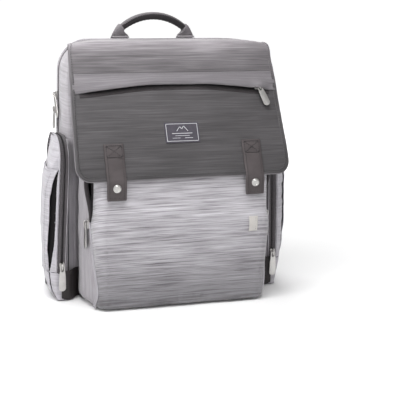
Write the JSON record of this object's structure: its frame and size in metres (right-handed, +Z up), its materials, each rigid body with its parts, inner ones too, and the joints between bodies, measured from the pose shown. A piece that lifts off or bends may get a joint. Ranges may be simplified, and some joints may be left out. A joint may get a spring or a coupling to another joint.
{
  "type": "backpack diaper bag",
  "caption": "Backpack-style diaper bag with a front flap on snap straps, zipped main compartment, front pocket, arched side pockets, grab handle and shoulder straps.",
  "frame": {"origin": "middle of the base of the main compartment, on the ground", "axes": "+Z up, front of the bag towards -Y, +X to the right when seen from the front"},
  "size_m": [0.4184, 0.228, 0.46],
  "materials": {
    "fabric_light": "heathered woven polyester, matt",
    "fabric_body": "heathered woven polyester, matt",
    "fabric_flap": "dark heathered woven polyester, matt",
    "fabric_back": "padded air mesh, matt",
    "lining": "thin woven nylon",
    "webbing": "ribbed webbing",
    "faux_leather": "matt faux leather",
    "guard": "matt coated base panel",
    "zip_tape": "black zip tape with coil",
    "zip_metal": "satin nickel plated",
    "snap_metal": "satin nickel plated",
    "label": "dark woven label",
    "tab": "folded satin ribbon",
    "buckle_plastic": "black acetal",
    "board": "stiff polyethylene sheet",
    "grip": "padded bound grip"
  },
  "bodies": {
    "bag": {"body_shell": "fabric_body", "body_back_shell": "fabric_body", "main_zip": "zip_tape", "lining": "lining", "base_board": "board", "inner_pocket": "lining", "back_panel": "fabric_back", "front_panel": "fabric_light", "front_gusset": "fabric_body", "front_zips": "zip_tape", "side_pouches": "fabric_body", "side_zips": "zip_tape", "base_guards": "guard", "handle_anchors": "webbing", "shoulder_yoke": "webbing", "lower_anchors": "webbing", "snap_studs": "snap_metal", "tab_label": "tab", "flap_seam": "fabric_flap"},
    "flap_top": {"flap_top_sheet": "fabric_flap"},
    "flap_front": {"flap_panel": "fabric_flap", "flap_binding": "fabric_flap", "flap_welt": "fabric_flap", "flap_zip": "zip_tape", "woven_label": "label", "strap_patches": "faux_leather"},
    "closure_left": {"strap_left": "faux_leather", "snap_left": "snap_metal"},
    "closure_right": {"strap_right": "faux_leather", "snap_right": "snap_metal"},
    "handle": {"handle_grip": "grip", "handle_webbing": "webbing"},
    "shoulder_left": {"pad_left": "fabric_back", "webbing_left": "webbing"},
    "shoulder_right": {"pad_right": "fabric_back", "webbing_right": "webbing"},
    "buckle_left": {"buckle_left": "buckle_plastic"},
    "buckle_right": {"buckle_right": "buckle_plastic"},
    "side_door_left": {"side_door_left": "fabric_light", "side_overlay_left": "fabric_light"},
    "side_door_right": {"side_door_right": "fabric_light", "side_overlay_right": "fabric_light"},
    "main_slider_upper": {"main_slider_upper": "zip_metal"},
    "main_slider_lower": {"main_slider_lower": "zip_metal"},
    "flap_slider": {"flap_slider": "zip_metal"},
    "front_slider_left": {"front_slider_left": "zip_metal"},
    "front_slider_right": {"front_slider_right": "zip_metal"},
    "side_slider_left": {"side_slider_left": "zip_metal"},
    "side_slider_right": {"side_slider_right": "zip_metal"},
    "main_puller_upper": {"main_puller_upper": "zip_metal"},
    "main_puller_lower": {"main_puller_lower": "zip_metal"},
    "flap_puller": {"flap_puller": "zip_metal"},
    "front_puller_left": {"front_puller_left": "zip_metal"},
    "front_puller_right": {"front_puller_right": "zip_metal"},
    "side_puller_left": {"side_puller_left": "zip_metal"},
    "side_puller_right": {"side_puller_right": "zip_metal"}
  },
  "joints": [
    {"name": "flap_hinge", "type": "hinge", "parent": "bag", "child": "flap_top", "pos_m": [0, 0.015, 0.4185], "axis": [-1, 0, 0], "range_deg": [0, 35]},
    {"name": "flap_fold", "type": "hinge", "parent": "flap_top", "child": "flap_front", "pos_m": [0, -0.024, 0.4205], "axis": [-1, 0, 0], "range_deg": [0, 175]},
    {"name": "strap_left_hinge", "type": "hinge", "parent": "flap_front", "child": "closure_left", "pos_m": [-0.116, -0.10995, 0.24583], "axis": [-1, 0, 0], "range_deg": [0, 80]},
    {"name": "strap_right_hinge", "type": "hinge", "parent": "flap_front", "child": "closure_right", "pos_m": [0.116, -0.10995, 0.24583], "axis": [-1, 0, 0], "range_deg": [0, 80]},
    {"name": "handle_swing", "type": "hinge", "parent": "bag", "child": "handle", "pos_m": [0, 0.072, 0.4213], "axis": [-1, 0, 0], "range_deg": [-70, 55]},
    {"name": "shoulder_right_swing", "type": "hinge", "parent": "bag", "child": "shoulder_right", "pos_m": [0.085, 0.0892, 0.388], "axis": [0.1244, 0, -0.9922], "range_deg": [0, 60]},
    {"name": "shoulder_left_swing", "type": "hinge", "parent": "bag", "child": "shoulder_left", "pos_m": [-0.085, 0.0892, 0.388], "axis": [0.1244, 0, 0.9922], "range_deg": [0, 60]},
    {"name": "buckle_left_tilt", "type": "hinge", "parent": "shoulder_left", "child": "buckle_left", "pos_m": [-0.073, 0.0944, 0.195], "axis": [1, 0, 0], "range_deg": [0, 30]},
    {"name": "buckle_right_tilt", "type": "hinge", "parent": "shoulder_right", "child": "buckle_right", "pos_m": [0.073, 0.0944, 0.195], "axis": [1, 0, 0], "range_deg": [0, 30]},
    {"name": "side_door_left_hinge", "type": "hinge", "parent": "bag", "child": "side_door_left", "pos_m": [-0.207, 0.016, 0.0466], "axis": [0, -1, 0], "range_deg": [0, 50]},
    {"name": "side_door_right_hinge", "type": "hinge", "parent": "bag", "child": "side_door_right", "pos_m": [0.207, 0.016, 0.0466], "axis": [0, 1, 0], "range_deg": [0, 50]},
    {"name": "main_slider_upper_slide", "type": "slide", "parent": "bag", "child": "main_slider_upper", "axis": [0, 0, 1], "range_m": [0, 0.033]},
    {"name": "main_puller_upper_hinge", "type": "hinge", "parent": "main_slider_upper", "child": "main_puller_upper", "pos_m": [-0.1761, 0.04643, 0.32705], "axis": [0, 0.8192, -0.5736], "range_deg": [0, 100]},
    {"name": "main_slider_lower_slide", "type": "slide", "parent": "bag", "child": "main_slider_lower", "axis": [0, 0, 1], "range_m": [0, 0.002]},
    {"name": "main_puller_lower_hinge", "type": "hinge", "parent": "main_slider_lower", "child": "main_puller_lower", "pos_m": [-0.1761, 0.04448, 0.30445], "axis": [0, 0.9781, 0.2079], "range_deg": [0, 100]},
    {"name": "flap_slider_slide", "type": "slide", "parent": "flap_front", "child": "flap_slider", "axis": [1, 0, 0], "range_m": [-0.27, 0]},
    {"name": "flap_puller_hinge", "type": "hinge", "parent": "flap_slider", "child": "flap_puller", "pos_m": [0.14123, -0.06474, 0.35065], "axis": [-0.9511, -0.1327, -0.2791], "range_deg": [0, 100]},
    {"name": "front_slider_left_slide", "type": "slide", "parent": "bag", "child": "front_slider_left", "axis": [0, 0, 1], "range_m": [-0.012, 0.058]},
    {"name": "front_puller_left_hinge", "type": "hinge", "parent": "front_slider_left", "child": "front_puller_left", "pos_m": [-0.1561, -0.084, 0.1395], "axis": [0, 1, 0], "range_deg": [0, 100]},
    {"name": "front_slider_right_slide", "type": "slide", "parent": "bag", "child": "front_slider_right", "axis": [0, 0, 1], "range_m": [-0.012, 0.058]},
    {"name": "front_puller_right_hinge", "type": "hinge", "parent": "front_slider_right", "child": "front_puller_right", "pos_m": [0.1561, -0.084, 0.1395], "axis": [0, -1, 0], "range_deg": [0, 100]},
    {"name": "side_slider_left_slide", "type": "slide", "parent": "bag", "child": "side_slider_left", "axis": [0.0344, 0, 0.9994], "range_m": [0, 0.16]},
    {"name": "side_puller_left_hinge", "type": "hinge", "parent": "side_slider_left", "child": "side_puller_left", "pos_m": [-0.185, -0.0511, 0.0605], "axis": [-1, 0, 0], "range_deg": [0, 100]},
    {"name": "side_slider_right_slide", "type": "slide", "parent": "bag", "child": "side_slider_right", "axis": [-0.0344, 0, 0.9994], "range_m": [0, 0.16]},
    {"name": "side_puller_right_hinge", "type": "hinge", "parent": "side_slider_right", "child": "side_puller_right", "pos_m": [0.185, -0.0511, 0.0605], "axis": [-1, 0, 0], "range_deg": [0, 100]}
  ]
}
